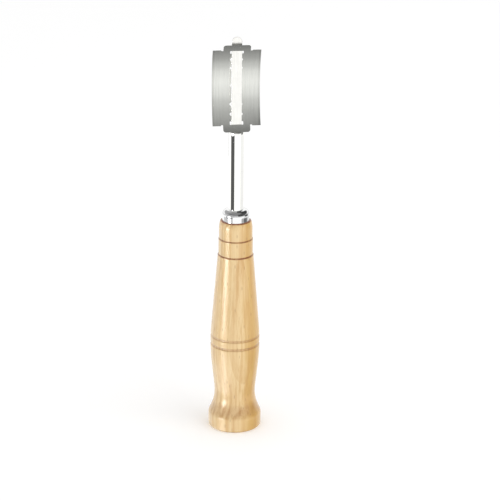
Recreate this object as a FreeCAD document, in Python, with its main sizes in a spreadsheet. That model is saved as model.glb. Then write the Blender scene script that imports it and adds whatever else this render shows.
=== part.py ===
"""Bread lame: a turned wooden handle, a metal collar let into its top, a round steel shank, a flat
spring strip brazed into the shank's slotted end, and a double-edged blade bowed over the strip.

The lame stands on its foot. The origin is the centre of the foot, +Z runs up the handle's axis and
the hollow side of the bowed blade faces -Y. Lengths are in millimetres.
"""

import FreeCAD, Part
import math
import os
import Sketcher

SIZES = {
    # Handle, from the foot up. Radii are measured from the axis, heights from the foot.
    "handle_height": 103.0,
    "foot_radius": 12.5,
    "foot_rounding": 1.1,
    "foot_shoulder": 4.0,
    "waist_radius": 9.58,
    "waist_height": 17.6,
    "waist_sweep": 21.0,
    "belly_radius": 11.55,
    "belly_height": 42.5,
    "belly_sweep": 105.0,
    "neck_base_radius": 8.3,
    "neck_radius": 8.0,
    "mouth_radius": 7.8,
    "mouth_height": 99.0,
    "mouth_sweep": 12.0,
    "mouth_rounding": 0.9,
    # Turned lines: two fine ones on the neck and two coves with a bead between them on the belly.
    "upper_line_height": 94.3,
    "lower_line_height": 86.4,
    "line_section": 0.35,
    "upper_cove_height": 46.15,
    "lower_cove_height": 42.0,
    "cove_section": 0.85,
    "cove_offset": 0.5,
    # Collar: a turned bush, its lower part pressed into the handle.
    "collar_radius": 6.0,
    "collar_rise": 5.1,
    "collar_rounding": 2.2,
    "collar_seat": 5.5,
    "collar_lead": 0.4,
    # Shank: round bar, its lower part the tang.
    "shank_radius": 3.5,
    "shank_top": 145.8,
    "shank_chamfer": 0.3,
    "tang_depth": 42.0,
    "shank_slot_depth": 12.0,
    # Strip: flat spring steel with a full-round tip.
    "strip_width": 4.7,
    "strip_thickness": 0.5,
    "strip_top": 190.0,
    # Blade: the standard double-edged blade, measured flat, then bowed.
    "blade_length": 43.0,
    "blade_width": 22.0,
    "blade_thickness": 0.1,
    "edge_thickness": 0.02,
    "edge_bevel": 0.95,
    "shoulder_length": 37.0,
    "tab_width": 12.4,
    "tab_rounding": 1.2,
    "relief_width": 0.9,
    "relief_depth": 0.45,
    "slot_width": 4.4,
    "slot_length": 36.0,
    "bar_width": 6.2,
    "bar_height": 1.6,
    "bar_rounding": 0.3,
    "lobe_radius": 0.75,
    "outer_lobe_place": 13.1,
    "inner_lobe_place": 8.6,
    "lobe_span": 5.9,
    "middle_lobe_span": 5.3,
    "bow_radius": 38.0,
    "blade_middle_height": 166.24,
    "blade_clearance": 0.044,
}

doc = FreeCAD.newDocument("bread_lame")
sheet = doc.addObject("Spreadsheet::Sheet", "sizes")


class Length:
    """A length that holds its value in millimetres and the sheet's formula for it."""

    def __init__(self, value, formula):
        self.value = value
        self.formula = formula

    def joined(self, sign, other, value):
        formula = other.formula if isinstance(other, Length) else str(other)
        return Length(value, f"({self.formula} {sign} {formula})")

    def __add__(self, other):
        return self.joined("+", other, self.value + plain(other))

    def __sub__(self, other):
        return self.joined("-", other, self.value - plain(other))

    def __mul__(self, other):
        return self.joined("*", other, self.value * plain(other))

    def __truediv__(self, other):
        return self.joined("/", other, self.value / plain(other))

    def __neg__(self):
        return self * -1


def plain(length):
    """The value of a Length, or of a bare number."""
    return length.value if isinstance(length, Length) else length


def size(alias):
    """The named cell of the sheet."""
    return Length(SIZES[alias], f"sizes.{alias}")


def fill_sheet():
    """Writes each driving size to its own cell, under its own name."""
    for row, (alias, value) in enumerate(SIZES.items(), start=1):
        sheet.set(f"A{row}", alias)
        sheet.set(f"B{row}", str(value))
        sheet.setAlias(f"B{row}", alias)
    doc.recompute()


def bind(item, attribute, length):
    """Ties one attribute of an object to the sheet."""
    item.setExpression(attribute, length.formula)


def new_body(label, height=None, depth=None):
    """An empty body whose own origin stands at the given height and depth of the lame's frame."""
    body = doc.addObject("PartDesign::Body", label)
    body.Label = label
    if height is not None:
        bind(body, "Placement.Base.z", height)
    if depth is not None:
        bind(body, "Placement.Base.y", depth)
    return body


def new_sketch(body, role, offset=None):
    """An empty sketch on one of the body's own origin planes, raised from it by the offset."""
    sketch = body.newObject("Sketcher::SketchObject", f"{body.Label}_outline")
    plane = next(item for item in body.Origin.OriginFeatures if item.Role == role)
    sketch.AttachmentSupport = [(plane, "")]
    sketch.MapMode = "FlatFace"
    if offset is not None:
        bind(sketch, "AttachmentOffset.Base.z", offset)
    return sketch


def constrain(sketch, *terms, to=None):
    """Adds one constraint and, when it has a size, ties that size to the sheet."""
    if to is None:
        return sketch.addConstraint(Sketcher.Constraint(*terms))
    index = sketch.addConstraint(Sketcher.Constraint(*terms, to.value))
    sketch.setExpression(f"Constraints[{index}]", to.formula)
    return index


START, END, CENTRE = 1, 2, 3
ORIGIN = (-1, 1)


def place(sketch, geometry, point, across, up):
    """Fixes one point of a sketch by its two distances from the sketch's origin."""
    constrain(sketch, "DistanceX", *ORIGIN, geometry, point, to=across)
    constrain(sketch, "DistanceY", *ORIGIN, geometry, point, to=up)


def vector(across, up):
    return FreeCAD.Vector(plain(across), plain(up), 0)


def draw_circle(sketch, across, up, radius):
    """A circle with its centre and radius tied to the sheet."""
    shape = Part.Circle(vector(across, up), FreeCAD.Vector(0, 0, 1), radius.value)
    circle = sketch.addGeometry(shape, False)
    place(sketch, circle, CENTRE, across, up)
    constrain(sketch, "Radius", circle, to=radius)


def draw_polygon(sketch, corners):
    """A closed outline of straight lines, each corner tied to the sheet.

    A corner is (across, up) or (across, up, radius). One with a radius is rounded by an arc.
    """
    count = len(corners)
    points = [vector(corner[0], corner[1]) for corner in corners]
    sides = []
    for index, start in enumerate(points):
        end = points[(index + 1) % count]
        along = (end - start).normalize()
        first = start + along * trimmed(corners[index])
        last = end - along * trimmed(corners[(index + 1) % count])
        sides.append(sketch.addGeometry(Part.LineSegment(first, last), False))
    for index, corner in enumerate(corners):
        before = sides[index - 1]
        after = sides[index]
        if len(corner) == 2:
            constrain(sketch, "Coincident", before, END, after, START)
            place(sketch, after, START, corner[0], corner[1])
        else:
            round_corner(sketch, before, after, points[index], corner)


def trimmed(corner):
    """How far a square corner's rounding cuts back each of its sides."""
    return plain(corner[2]) if len(corner) == 3 else 0.0


def round_corner(sketch, before, after, point, corner):
    """Joins two sides that meet squarely with a tangent arc about a construction corner."""
    first = sketch.getPoint(before, END)
    last = sketch.getPoint(after, START)
    centre = first + last - point
    bend = (point - first).cross(last - point).z
    spread = sorted_angles(centre, first, last, bend)
    circle = Part.Circle(centre, FreeCAD.Vector(0, 0, 1), plain(corner[2]))
    arc = sketch.addGeometry(Part.ArcOfCircle(circle, *spread), False)
    ends = (START, END) if bend > 0 else (END, START)
    constrain(sketch, "Tangent", before, END, arc, ends[0])
    constrain(sketch, "Tangent", arc, ends[1], after, START)
    constrain(sketch, "Radius", arc, to=corner[2])
    mark = sketch.addGeometry(Part.Point(point), True)
    constrain(sketch, "PointOnObject", mark, START, before)
    constrain(sketch, "PointOnObject", mark, START, after)
    place(sketch, mark, START, corner[0], corner[1])


def sorted_angles(centre, first, last, bend):
    """Start and end angle of the anticlockwise arc between two points."""
    angles = [math.atan2(spot.y - centre.y, spot.x - centre.x) for spot in (first, last)]
    if bend < 0:
        angles.reverse()
    if angles[1] < angles[0]:
        angles[1] += 2 * math.pi
    return angles


def revolve(body, sketch, kind="PartDesign::Revolution", axis="V_Axis"):
    """Turns a sketch right round one of its own axes."""
    feature = body.newObject(kind, f"{body.Label}_turning")
    feature.Profile = sketch
    feature.ReferenceAxis = (sketch, [axis])
    feature.Angle = 360
    body.Tip = feature
    return feature


def cut_through(body, sketch, name):
    """A pocket that runs through the whole body, both ways from its sketch."""
    pocket = body.newObject("PartDesign::Pocket", f"{body.Label}_{name}")
    pocket.Profile = sketch
    pocket.Midplane = True
    pocket.Type = "ThroughAll"
    body.Tip = pocket
    return pocket


def draw_handle_outline(sketch):
    """Half of the handle's outline, from the foot's centre up to the mouth and back to the axis."""
    foot = size("foot_radius")
    rounding = size("foot_rounding")
    shoulder = size("foot_shoulder")
    waist = size("waist_radius")
    waist_height = size("waist_height")
    waist_sweep = size("waist_sweep")
    belly = size("belly_radius")
    belly_height = size("belly_height")
    belly_sweep = size("belly_sweep")
    neck_base = size("neck_base_radius")
    neck = size("neck_radius")
    mouth = size("mouth_radius")
    mouth_height = size("mouth_height")
    mouth_sweep = size("mouth_sweep")
    lip = size("mouth_rounding")
    upper_line = size("upper_line_height")
    lower_line = size("lower_line_height")
    top = size("handle_height")

    waist_centre = vector(waist + waist_sweep, waist_height)
    belly_centre = vector(belly - belly_sweep, belly_height)
    mouth_centre = vector(mouth - mouth_sweep, mouth_height)
    reach = waist_sweep.value + shoulder.value
    shoulder_across = foot.value - shoulder.value
    shoulder_drop = math.sqrt(reach**2 - (waist_centre.x - shoulder_across) ** 2)
    shoulder_centre = FreeCAD.Vector(shoulder_across, waist_centre.y - shoulder_drop, 0)
    flare_angle = math.atan2(waist_centre.y - shoulder_centre.y, waist_centre.x - shoulder_centre.x)
    joining = belly_centre - waist_centre
    touch = math.acos((waist_sweep.value + belly_sweep.value) / joining.Length)
    rise_angle = math.atan2(joining.y, joining.x) + touch
    coves = [vector(belly + size("cove_offset"), size(name))
             for name in ("lower_cove_height", "upper_cove_height")]
    cove_section = size("cove_section")
    low_cut, high_cut = [crossing_angles(belly_centre, belly_sweep.value, cove, cove_section.value)
                         for cove in coves]
    neck_point = vector(neck_base, lower_line)
    to_neck = neck_point - belly_centre
    taper_angle = math.atan2(to_neck.y, to_neck.x) - math.acos(belly_sweep.value / to_neck.Length)
    lip_across = mouth_sweep.value - lip.value
    lip_up = top.value - lip.value
    lip_angle = math.asin((lip_up - mouth_centre.y) / lip_across)
    lip_centre = mouth_centre + polar(lip_across, lip_angle)

    outline = [
        straight(vector(0, 0), vector(foot - rounding, 0)),
        curve(vector(foot - rounding, rounding), rounding, -math.pi / 2, 0),
        straight(vector(foot, rounding), vector(foot, shoulder_centre.y)),
        curve(shoulder_centre, shoulder, 0, flare_angle),
        curve(waist_centre, waist_sweep, rise_angle, math.pi + flare_angle),
        straight(
            waist_centre + polar(waist_sweep.value, rise_angle),
            belly_centre + polar(belly_sweep.value, rise_angle - math.pi),
        ),
        curve(belly_centre, belly_sweep, rise_angle - math.pi, low_cut.below),
        curve(coves[0], cove_section, low_cut.cove_above, low_cut.cove_below),
        curve(belly_centre, belly_sweep, low_cut.above, high_cut.below),
        curve(coves[1], cove_section, high_cut.cove_above, high_cut.cove_below),
        curve(belly_centre, belly_sweep, high_cut.above, taper_angle),
        straight(belly_centre + polar(belly_sweep.value, taper_angle), neck_point),
        straight(neck_point, vector(neck, lower_line)),
        straight(vector(neck, lower_line), vector(neck, upper_line)),
        straight(vector(neck, upper_line), vector(mouth, upper_line)),
        straight(vector(mouth, upper_line), vector(mouth, mouth_height)),
        curve(mouth_centre, mouth_sweep, 0, lip_angle),
        curve(lip_centre, lip, lip_angle, math.pi / 2),
        straight(lip_centre + polar(lip.value, math.pi / 2), vector(0, top)),
        straight(vector(0, top), vector(0, 0)),
    ]
    (base, edge, rim, flare, hollow, rising, swell, lower_cove, bead, upper_cove, shoulders, taper,
     step, collar, second_step, wall, easing, rolled, end_face, axis) = sketch.addGeometry(outline, False)

    tangents = [
        (base, END, edge, START),
        (edge, END, rim, START),
        (rim, END, flare, START),
        (flare, END, hollow, END),
        (hollow, START, rising, START),
        (rising, END, swell, START),
        (shoulders, END, taper, START),
        (wall, END, easing, START),
        (easing, END, rolled, START),
        (rolled, END, end_face, START),
    ]
    for join in tangents:
        constrain(sketch, "Tangent", *join)
    for first, second in ((taper, step), (step, collar), (collar, second_step), (second_step, wall),
                          (end_face, axis), (axis, base)):
        constrain(sketch, "Coincident", first, END, second, START)
    for below, cove, above in ((swell, lower_cove, bead), (bead, upper_cove, shoulders)):
        constrain(sketch, "Coincident", below, END, cove, END)
        constrain(sketch, "Coincident", cove, START, above, START)
        constrain(sketch, "Coincident", below, CENTRE, above, CENTRE)
    constrain(sketch, "Coincident", base, START, *ORIGIN)
    for level in (base, step, second_step, end_face):
        constrain(sketch, "Horizontal", level)
    for upright in (rim, collar, wall, axis):
        constrain(sketch, "Vertical", upright)
    for round_part, radius in ((edge, rounding), (flare, shoulder), (hollow, waist_sweep),
                               (swell, belly_sweep), (bead, belly_sweep), (shoulders, belly_sweep),
                               (lower_cove, cove_section), (upper_cove, cove_section),
                               (easing, mouth_sweep), (rolled, lip)):
        constrain(sketch, "Radius", round_part, to=radius)
    for cove, name in ((lower_cove, "lower_cove_height"), (upper_cove, "upper_cove_height")):
        place(sketch, cove, CENTRE, belly + size("cove_offset"), size(name))
    constrain(sketch, "DistanceX", *ORIGIN, rim, START, to=foot)
    place(sketch, hollow, CENTRE, waist + waist_sweep, waist_height)
    place(sketch, swell, CENTRE, belly - belly_sweep, belly_height)
    place(sketch, step, START, neck_base, lower_line)
    place(sketch, second_step, START, neck, upper_line)
    place(sketch, wall, END, mouth, mouth_height)
    constrain(sketch, "DistanceY", *ORIGIN, axis, START, to=top)


class Crossing:
    """The angles, about each circle's own centre, at which a small circle outside cuts a large one."""

    def __init__(self, large_below, large_above, small_above, small_below):
        self.below = large_below
        self.above = large_above
        self.cove_above = small_above
        self.cove_below = small_below


def crossing_angles(centre, radius, cove, cove_radius):
    """Where a cove's circle cuts the belly's circle."""
    between = cove - centre
    heading = math.atan2(between.y, between.x)
    gap = between.Length
    half = math.acos((gap**2 + radius**2 - cove_radius**2) / (2 * gap * radius))
    cove_half = math.acos((gap**2 + cove_radius**2 - radius**2) / (2 * gap * cove_radius))
    back = heading + math.pi
    return Crossing(heading - half, heading + half, back - cove_half, back + cove_half)


def polar(radius, angle):
    return FreeCAD.Vector(radius * math.cos(angle), radius * math.sin(angle), 0)


def straight(start, end):
    return Part.LineSegment(start, end)


def curve(centre, radius, first, last):
    """An anticlockwise arc between two angles."""
    circle = Part.Circle(centre, FreeCAD.Vector(0, 0, 1), radius.value)
    return Part.ArcOfCircle(circle, first, last)


def make_handle():
    """The turned handle, with its lines and coves, and the counterbored hole for collar and tang."""
    body = new_body("handle")
    outline = new_sketch(body, "XZ_Plane")
    draw_handle_outline(outline)
    revolve(body, outline)

    neck_base = size("neck_base_radius")
    neck = size("neck_radius")
    mouth = size("mouth_radius")
    lines = new_sketch(body, "XZ_Plane")
    section = size("line_section")
    draw_circle(lines, (neck_base + neck) / 2, size("lower_line_height"), section)
    draw_circle(lines, (neck + mouth) / 2, size("upper_line_height"), section)
    revolve(body, lines, kind="PartDesign::Groove")

    mouth_sketch = new_sketch(body, "XY_Plane", offset=size("handle_height"))
    draw_circle(mouth_sketch, Length(0, "0mm"), Length(0, "0mm"), size("shank_radius"))
    doc.recompute()
    hole = body.newObject("PartDesign::Hole", "handle_bore")
    hole.Profile = mouth_sketch
    body.Tip = hole
    hole.ThreadType = "None"
    hole.DepthType = "Dimension"
    hole.DrillPoint = "Flat"
    hole.HoleCutType = "Counterbore"
    hole.HoleCutCustomValues = True
    bind(hole, "Diameter", size("shank_radius") * 2)
    bind(hole, "Depth", size("tang_depth"))
    bind(hole, "HoleCutDiameter", size("collar_radius") * 2)
    bind(hole, "HoleCutDepth", size("collar_seat"))
    return body


def make_collar():
    """The bush round the foot of the shank: seated in the handle, with a rounded top edge."""
    body = new_body("ferrule", height=size("handle_height"))
    sketch = new_sketch(body, "XZ_Plane")
    bore = size("shank_radius")
    outside = size("collar_radius")
    bottom = -size("collar_seat")
    top = size("collar_rise")
    lead = size("collar_lead")
    draw_polygon(sketch, [
        (bore, bottom),
        (outside - lead, bottom),
        (outside, bottom + lead),
        (outside, top, size("collar_rounding")),
        (bore, top),
    ])
    revolve(body, sketch)
    return body


def make_shank():
    """The round bar from the bottom of the tang to its slotted top."""
    tang_bottom = size("handle_height") - size("tang_depth")
    body = new_body("shank", height=tang_bottom)
    sketch = new_sketch(body, "XZ_Plane")
    radius = size("shank_radius")
    chamfer = size("shank_chamfer")
    length = size("shank_top") - tang_bottom
    draw_polygon(sketch, [
        (Length(0, "0mm"), Length(0, "0mm")),
        (radius - chamfer, Length(0, "0mm")),
        (radius, chamfer),
        (radius, length - chamfer),
        (radius - chamfer, length),
        (Length(0, "0mm"), length),
    ])
    revolve(body, sketch)

    slot = new_sketch(body, "YZ_Plane")
    half = size("strip_thickness") / 2
    bottom = length - size("shank_slot_depth")
    draw_polygon(slot, [
        (-half, bottom),
        (half, bottom),
        (half, length + 1),
        (-half, length + 1),
    ])
    cut_through(body, slot, "slot")
    return body


def make_strip():
    """The flat strip, from the bottom of the shank's slot to its round tip."""
    foot = size("shank_top") - size("shank_slot_depth")
    body = new_body("blade_strip", height=foot)
    sketch = new_sketch(body, "XZ_Plane")
    half = size("strip_width") / 2
    length = size("strip_top") - foot
    left, right, tip, base = sketch.addGeometry([
        straight(vector(-half, length - half), vector(-half, 0)),
        straight(vector(half, 0), vector(half, length - half)),
        curve(vector(0, length - half), half, 0, math.pi),
        straight(vector(-half, 0), vector(half, 0)),
    ], False)
    constrain(sketch, "Coincident", left, END, base, START)
    constrain(sketch, "Coincident", base, END, right, START)
    constrain(sketch, "Tangent", right, END, tip, START)
    constrain(sketch, "Tangent", tip, END, left, START)
    constrain(sketch, "Vertical", right)
    place(sketch, base, START, -half, Length(0, "0mm"))
    place(sketch, base, END, half, Length(0, "0mm"))
    place(sketch, tip, CENTRE, Length(0, "0mm"), length - half)
    pad = body.newObject("PartDesign::Pad", "blade_strip_sheet")
    pad.Profile = sketch
    pad.Midplane = True
    bind(pad, "Length", size("strip_thickness"))
    body.Tip = pad
    return body


def bowed(along):
    """Height above the blade's middle of a point that lies so far along the flat blade."""
    radius = size("bow_radius")
    value = radius.value * math.sin(plain(along) / radius.value)
    formula = f"({radius.formula} * sin(1rad * {along.formula} / {radius.formula}))"
    return Length(value, formula)


def bow_depth():
    """Where the bow's axis lies in depth, so that the strip passes just clear through both bars."""
    radius = size("bow_radius")
    half = size("blade_thickness") / 2
    inner = bowed(size("slot_length") / 2 - size("bar_height"))
    front = radius - half
    value = math.sqrt(front.value**2 - inner.value**2)
    formula = f"sqrt({front.formula}^2 - {inner.formula}^2)"
    room = size("strip_thickness") / 2 + size("blade_clearance")
    return room - Length(value, formula)


def make_blade():
    """The blade: a honed cross-section swept round the bow's axis, then cut to its outline.

    The body's own origin lies on the bow's axis, which runs along X. The cuts are drawn on the
    upright plane through that axis and run through the blade towards +Y.
    """
    body = new_body("razor_blade", height=size("blade_middle_height"), depth=bow_depth())
    section = new_sketch(body, "XY_Plane")
    radius = size("bow_radius")
    half_width = size("blade_width") / 2
    flat = half_width - size("edge_bevel")
    thick = size("blade_thickness") / 2
    edge = size("edge_thickness") / 2
    draw_polygon(section, [
        (-half_width, radius - edge),
        (-flat, radius - thick),
        (flat, radius - thick),
        (half_width, radius - edge),
        (half_width, radius + edge),
        (flat, radius + thick),
        (-flat, radius + thick),
        (-half_width, radius + edge),
    ])
    bow = revolve(body, section, axis="H_Axis")
    bow.Midplane = True
    bind(bow, "Angle", Length(0, f"(1rad * {size('blade_length').formula} / {radius.formula})"))

    cut_through(body, draw_corners(body), "corners")
    cut_through(body, draw_slot(body), "slot")
    cut_through(body, draw_bars(body), "bars")
    cut_through(body, draw_lobes(body), "lobes")
    return body


def draw_corners(body):
    """What is cut away beside the four corners of the two tabs."""
    sketch = new_sketch(body, "XZ_Plane")
    outside = size("blade_width") / 2 + 1
    tab = size("tab_width") / 2
    rounding = size("tab_rounding")
    eighth = rounding * (1 - math.sqrt(0.5))  # how far a corner's middle stands back from it
    relief = size("relief_width")
    shoulder = bowed(size("shoulder_length") / 2)
    relief_bottom = bowed(size("shoulder_length") / 2 - size("relief_depth"))
    end = bowed(size("blade_length") / 2)
    for side in (1, -1):
        for way in (1, -1):
            draw_polygon(sketch, [
                (outside * side, shoulder * way),
                ((tab + relief) * side, shoulder * way),
                ((tab + relief) * side, relief_bottom * way),
                (tab * side, relief_bottom * way),
                (tab * side, (end - rounding) * way),
                ((tab - eighth) * side, (end - eighth) * way),
                ((tab - rounding) * side, end * way),
                ((tab - rounding) * side, (end + 1) * way),
                (outside * side, (end + 1) * way),
            ])
    return sketch


def draw_slot(body):
    """The long slot."""
    sketch = new_sketch(body, "XZ_Plane")
    half = size("slot_width") / 2
    end = bowed(size("slot_length") / 2)
    draw_polygon(sketch, [(-half, -end), (half, -end), (half, end), (-half, end)])
    return sketch


def draw_bars(body):
    """The two wide bars across the ends of the slot, which the strip passes through."""
    sketch = new_sketch(body, "XZ_Plane")
    half = size("bar_width") / 2
    rounding = size("bar_rounding")
    outer = bowed(size("slot_length") / 2)
    inner = bowed(size("slot_length") / 2 - size("bar_height"))
    for way in (1, -1):
        draw_polygon(sketch, [
            (-half, inner * way, rounding),
            (half, inner * way, rounding),
            (half, outer * way, rounding),
            (-half, outer * way, rounding),
        ])
    return sketch


def draw_lobes(body):
    """The pairs of round lobes along the slot."""
    sketch = new_sketch(body, "XZ_Plane")
    radius = size("lobe_radius")
    across = size("lobe_span") / 2 - radius
    middle_across = size("middle_lobe_span") / 2 - radius
    for side in (1, -1):
        for way in (1, -1):
            draw_circle(sketch, across * side, bowed(size("outer_lobe_place")) * way, radius)
            draw_circle(sketch, across * side, bowed(size("inner_lobe_place")) * way, radius)
        draw_circle(sketch, middle_across * side, Length(0, "0mm"), radius)
    return sketch


def check(bodies):
    """Stops the build if anything in the document failed, or a body isn't one sound solid."""
    for item in doc.Objects:
        if "Invalid" in item.State or "Error" in item.State:
            raise RuntimeError(f"{item.Name} failed: {item.State}")
        if item.TypeId == "Sketcher::SketchObject" and not item.FullyConstrained:
            raise RuntimeError(f"{item.Name} isn't fully constrained")
    for body in bodies:
        shape = body.Shape
        if shape.isNull() or not shape.isValid() or len(shape.Solids) != 1:
            raise RuntimeError(f"{body.Label} isn't one valid solid")


def main():
    fill_sheet()
    bodies = [make_handle(), make_collar(), make_shank(), make_strip(), make_blade()]
    doc.recompute()
    check(bodies)
    os.makedirs("parts", exist_ok=True)
    for body in bodies:
        body.Shape.exportStep(f"parts/{body.Label}.step")
        box = body.Shape.BoundBox
        low = ", ".join(f"{value:.3f}" for value in (box.XMin, box.YMin, box.ZMin))
        high = ", ".join(f"{value:.3f}" for value in (box.XMax, box.YMax, box.ZMax))
        print(f"{body.Label}: {body.Shape.Volume:.1f} mm3, from {low} to {high}")


main()
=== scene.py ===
"""A bread lame: a turned and lacquered handle, a plated collar, a polished bar,
a strip of spring steel and a bowed double-edged blade, on a pale studio floor."""

import math
from functools import partial

import bmesh
import bpy
from bpy.props import FloatProperty, FloatVectorProperty, IntProperty, PointerProperty
from mathutils import Matrix, Vector


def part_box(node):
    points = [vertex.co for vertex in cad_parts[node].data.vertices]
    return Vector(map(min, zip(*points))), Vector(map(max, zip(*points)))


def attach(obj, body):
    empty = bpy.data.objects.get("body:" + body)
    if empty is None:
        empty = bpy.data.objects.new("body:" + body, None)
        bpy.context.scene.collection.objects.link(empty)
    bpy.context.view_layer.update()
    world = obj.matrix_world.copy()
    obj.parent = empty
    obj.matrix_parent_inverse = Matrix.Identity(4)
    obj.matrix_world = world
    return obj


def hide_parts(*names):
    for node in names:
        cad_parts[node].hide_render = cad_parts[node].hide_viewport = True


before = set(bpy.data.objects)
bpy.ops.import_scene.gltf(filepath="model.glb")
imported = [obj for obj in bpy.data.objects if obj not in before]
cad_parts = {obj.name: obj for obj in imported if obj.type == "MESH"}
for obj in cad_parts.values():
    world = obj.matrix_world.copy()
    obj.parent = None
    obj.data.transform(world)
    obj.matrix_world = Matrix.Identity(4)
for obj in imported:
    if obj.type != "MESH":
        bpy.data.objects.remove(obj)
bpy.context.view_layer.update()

MM = 0.001
FULL_TURN = 2 * math.pi
WHITE = (1.0, 1.0, 1.0, 1.0)

bl_info = {
    "name": "Bread Lame",
    "version": (1, 0, 0),
    "blender": (4, 5, 0),
    "location": "3D View > Sidebar > Bread Lame",
    "description": "Builds a bread lame around its packed CAD frame",
    "category": "Object",
}

# How finely curves are cut up: the longest step, and the most that an arc turns in one step.
LONG_STEP = 0.8 * MM
SMALL_TURN = math.radians(8)
# Faces that meet at more than this angle keep a hard edge between them.
SHARP_ANGLE = math.radians(32)
# Points closer than this become one point.
MERGE_DISTANCE = 0.5e-6
# The blade's places are rounded to so many digits of a metre, across it and along it.
ACROSS_DIGITS = 7
ALONG_DIGITS = 6
# A length that counts as none.
NOTHING = 1e-9
# Roundings too small to be worth a size of their own.
BROKEN_EDGE = 0.1 * MM
NOTCH_MOUTH = 0.15 * MM
NOTCH_FLOOR = 0.2 * MM


# ---------------------------------------------------------------- sizes and colours

def length(description, value):
    """A size that a user may change, in metres."""
    return FloatProperty(description=description, default=value, unit="LENGTH", precision=5)


def angle(description, degrees):
    """An angle that a user may change."""
    return FloatProperty(
        description=description, default=math.radians(degrees), subtype="ANGLE")


def colour(description, value):
    """A colour that a user may change, given as red, green and blue from 0 to 255."""
    linear = [
        (c / 255 / 12.92) if c <= 10 else ((c / 255 + 0.055) / 1.055) ** 2.4
        for c in value
    ]
    return FloatVectorProperty(
        description=description, default=(*linear, 1.0),
        subtype="COLOR", size=4, min=0.0, max=1.0)


def share(description, value, most=1.0):
    """A plain number that a user may change."""
    return FloatProperty(description=description, default=value, min=0.0, max=most)


def count(description, value):
    """A whole number that a user may change."""
    return IntProperty(description=description, default=value, min=8, max=512)


class LameHandle(bpy.types.PropertyGroup):
    """Sizes of the turned handle. Radii are from the axis and heights from the foot."""
    foot_radius: length("Widest radius of the foot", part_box("handle")[1].x)
    foot_rounding: length("Rounding under the foot", 1.1 * MM)
    foot_shoulder: length("Radius of the foot's upper edge", 4.0 * MM)
    waist_radius: length("Narrowest radius above the foot", 9.58 * MM)
    waist_height: length("Height of the waist", 17.6 * MM)
    waist_sweep: length("Radius of the hollow at the waist", 21.0 * MM)
    belly_radius: length("Widest radius of the belly", 11.55 * MM)
    belly_height: length("Height of the belly", 42.5 * MM)
    belly_sweep: length("Radius of the belly's long curve", 105.0 * MM)
    neck_base_radius: length("Radius below the lower line", 8.3 * MM)
    neck_radius: length("Radius between the two lines", 8.0 * MM)
    mouth_radius: length("Radius above the upper line", 7.8 * MM)
    mouth_height: length("Where the mouth starts to close", 99.0 * MM)
    mouth_sweep: length("Radius of the closing curve", 12.0 * MM)
    mouth_rounding: length("Rounding of the top rim", 0.9 * MM)
    height: length("Height of the wood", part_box("handle")[1].z)
    upper_line: length("Height of the upper turned line", 94.3 * MM)
    lower_line: length("Height of the lower turned line", 86.4 * MM)
    line_radius: length("Radius of the fine tool", 0.35 * MM)
    upper_cove: length("Height of the upper cove", 46.15 * MM)
    lower_cove: length("Height of the lower cove", 42.0 * MM)
    cove_radius: length("Radius of the cove tool", 0.85 * MM)
    cove_offset: length("How far the tool's middle stays outside", 0.5 * MM)
    bore_gap: length("Room around the collar and the bar", 0.02 * MM)
    # Painted shade: the darker band above the foot's edge stands in for shade on the flare.
    foot_band: length("Height of the darker band above the foot's edge", 10.2 * MM)
    around: count("Faces around the handle", 144)


class LameMetal(bpy.types.PropertyGroup):
    """Sizes of the collar, the bar and the strip."""
    collar_radius: length("Outside of the collar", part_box("ferrule")[1].x)
    collar_bottom: length("Depth of its seat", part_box("ferrule")[0].z)
    collar_top: length("Height of its mouth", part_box("ferrule")[1].z)
    collar_rounding: length("Rounding of its shoulder", 2.2 * MM)
    collar_lead: length("Chamfer that leads it into the wood", 0.4 * MM)
    collar_flare: length("How much its side opens towards the top", 0.45 * MM)
    bar_radius: length("Outside of the bar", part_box("shank")[1].x)
    bar_bottom: length("End of the tang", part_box("shank")[0].z)
    bar_top: length("Top of the bar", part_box("shank")[1].z)
    bar_chamfer: length("Chamfer at both ends", 0.3 * MM)
    strip_width: length("Width of the strip", 2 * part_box("blade_strip")[1].x)
    strip_thickness: length("Thickness of the strip", 2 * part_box("blade_strip")[1].y)
    strip_bottom: length("Bottom of the strip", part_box("blade_strip")[0].z)
    strip_top: length("Tip of the strip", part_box("blade_strip")[1].z)
    strip_edge: length("Broken edge of the strip", 0.06 * MM)
    around: count("Faces around the metal pieces", 128)


class LameBlade(bpy.types.PropertyGroup):
    """Sizes of the blade, measured flat, and of its bow."""
    length: length("From tab end to tab end", 43.0 * MM)
    width: length("From edge to edge", 2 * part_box("razor_blade")[1].x)
    thickness: length("Thickness of the steel", 0.1 * MM)
    edge_thickness: length("What is left at the honed edge", 0.02 * MM)
    bevel: length("Width of the honed band", 0.95 * MM)
    shoulder: length("Length of the honed edges", 37.0 * MM)
    tab_width: length("Width of the end tabs", 12.4 * MM)
    tab_rounding: length("Rounding of the tabs' corners", 1.2 * MM)
    relief_width: length("Width of the notch beside a tab", 0.9 * MM)
    relief_depth: length("Depth of the notch beside a tab", 0.45 * MM)
    slot_width: length("Width of the long slot", 4.4 * MM)
    slot_length: length("Length of the long slot", 36.0 * MM)
    bar_width: length("Width of the wide ends of the slot", 6.2 * MM)
    bar_height: length("Height of the wide ends", 1.6 * MM)
    bar_rounding: length("Rounding of the wide ends", 0.3 * MM)
    lobe_radius: length("Radius of the round bites", 0.75 * MM)
    lobe_span: length("Span over a pair of bites", 5.9 * MM)
    middle_span: length("Span over the middle pair", 5.3 * MM)
    outer_lobe: length("Place of the outer pairs", 13.1 * MM)
    inner_lobe: length("Place of the inner pairs", 8.6 * MM)
    bow_radius: length("Radius that the blade is bent to", 38.0 * MM)
    bow_depth: length("Depth of the bend's axis", -34.166 * MM)
    bow_height: length("Height of the bend's axis", 166.24 * MM)
    step: length("Height of one row of faces", 0.4 * MM)


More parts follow.
